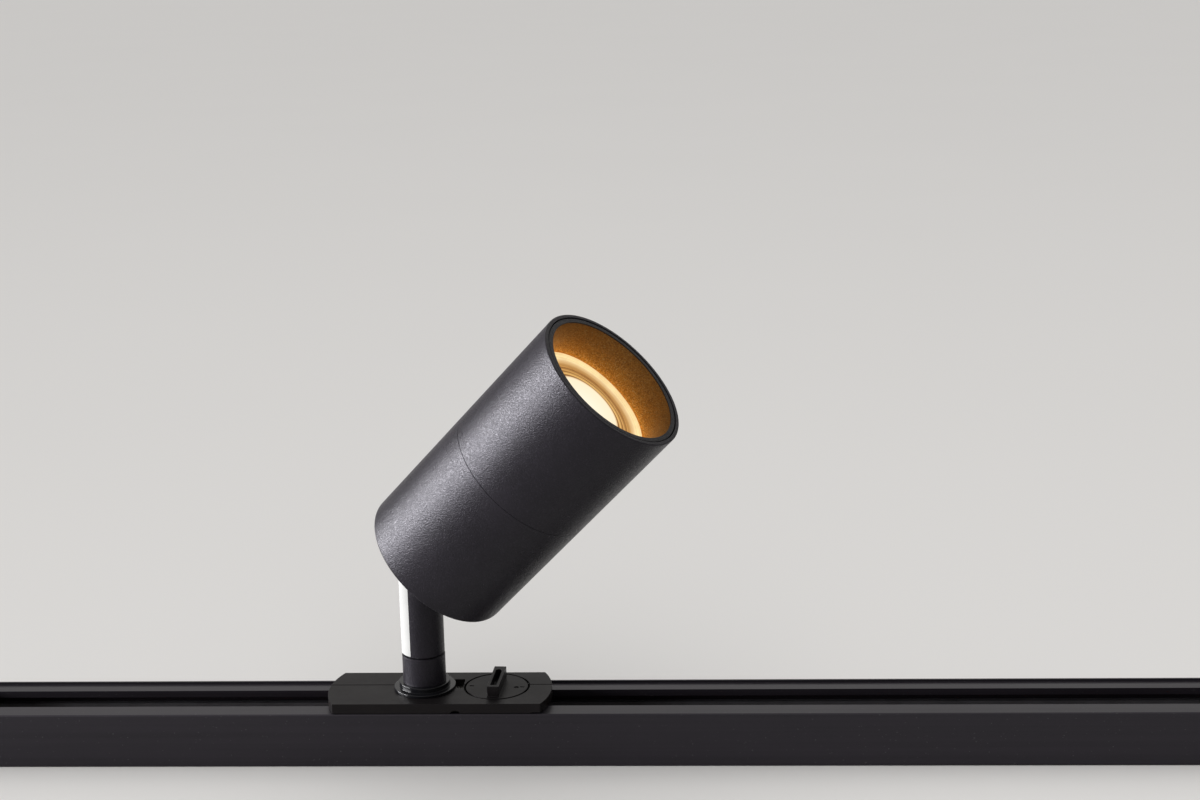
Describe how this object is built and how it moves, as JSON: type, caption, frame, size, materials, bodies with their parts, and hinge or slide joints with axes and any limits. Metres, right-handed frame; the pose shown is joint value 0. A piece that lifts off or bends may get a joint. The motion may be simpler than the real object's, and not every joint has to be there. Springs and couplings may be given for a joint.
{
  "type": "track lighting fixture",
  "caption": "Black cylindrical spotlight on a swivelling post and twist-lock adapter, carried by a length of slotted surface track.",
  "frame": {"origin": "middle of the track's flat mounting face", "axes": "+X along the track towards its live end, +Z from the mounting face towards the lamp, +Y towards the back, away from the side the lamp leans to"},
  "size_m": [0.551, 0.0856, 0.1754],
  "materials": {
    "track_finish": "satin black anodised aluminium",
    "liner_plastic": "matt black extruded plastic",
    "copper": "bare copper strip",
    "cap_plastic": "fine grained black moulding",
    "terminal_plastic": "pale moulded plastic",
    "steel": "zinc plated steel",
    "dark_steel": "blackened steel",
    "spring_metal": "spring bronze",
    "adapter_plastic": "fine grained black moulding",
    "gloss_black": "polished black moulding",
    "black_coat": "satin black powder coat",
    "bush_nylon": "natural nylon",
    "rotor_plastic": "pale heat resistant plastic",
    "label_paper": "blank matt white label",
    "lead_insulation": "silicone insulation",
    "lip_black": "satin black lip",
    "gold_cup": "bronze gold sparkle lacquer",
    "lamp_glass": "pressed lamp glass",
    "lamp_front": "frosted lit lens",
    "ceramic": "unglazed ceramic"
  },
  "bodies": {
    "track": {"track_extrusion": "track_finish", "liner_front": "liner_plastic", "liner_back": "liner_plastic", "conductor_live": "copper", "conductor_neutral": "copper", "end_cap": "cap_plastic", "end_cap_screw": "steel", "live_end_box": "cap_plastic", "live_end_cover": "cap_plastic", "live_terminal": "terminal_plastic", "live_tongues": "spring_metal", "terminal_screws": "steel", "cover_screws": "steel"},
    "adapter": {"adapter_front_shell": "adapter_plastic", "adapter_back_shell": "adapter_plastic", "shell_screws": "steel", "detent_leaf": "steel", "earth_spring": "spring_metal", "link_leads": "lead_insulation", "flange_ring": "gloss_black", "swivel_collar": "black_coat", "collar_clip": "steel", "swivel_bush": "bush_nylon"},
    "lock": {"lock_knob": "adapter_plastic", "lock_rotor": "rotor_plastic", "lock_tabs": "steel", "contact_blades": "spring_metal", "rotor_screw": "steel"},
    "post": {"spindle": "steel", "thrust_washer": "steel", "ring_nut": "steel", "post_tube": "black_coat", "post_label": "label_paper", "post_wires": "lead_insulation", "knuckle_bolt": "dark_steel", "pivot_insert": "spring_metal", "knuckle_washers": "steel"},
    "head": {"knuckle_tongue": "black_coat", "tongue_nut": "steel", "rear_housing": "black_coat", "coupling_ring": "steel", "front_tube": "black_coat", "lip_ring": "lip_black", "glare_cup": "gold_cup", "lamp_reflector": "lamp_glass", "lamp_lens": "lamp_front", "lamp_base": "ceramic", "lamp_pins": "steel", "lamp_holder": "ceramic", "holder_bracket": "steel", "bracket_screws": "steel", "holder_screws": "steel", "head_wires": "lead_insulation"}
  },
  "joints": [
    {"name": "adapter_slide", "type": "slide", "parent": "track", "child": "adapter", "axis": [1, 0, 0], "range_m": [-0.14, 0.245]},
    {"name": "lock_turn", "type": "hinge", "parent": "adapter", "child": "lock", "pos_m": [-0.0372, 0, 0.0255], "axis": [0, 0, 1], "range_deg": [-90, 0]},
    {"name": "post_pan", "type": "hinge", "parent": "adapter", "child": "post", "pos_m": [-0.065, 0, 0.04], "axis": [0, 0, 1], "range_deg": [-175, 175]},
    {"name": "head_tilt", "type": "hinge", "parent": "post", "child": "head", "pos_m": [-0.065, 0, 0.0698], "axis": [0.3827, 0.9239, 0], "range_deg": [-44.1, 45.9]}
  ]
}
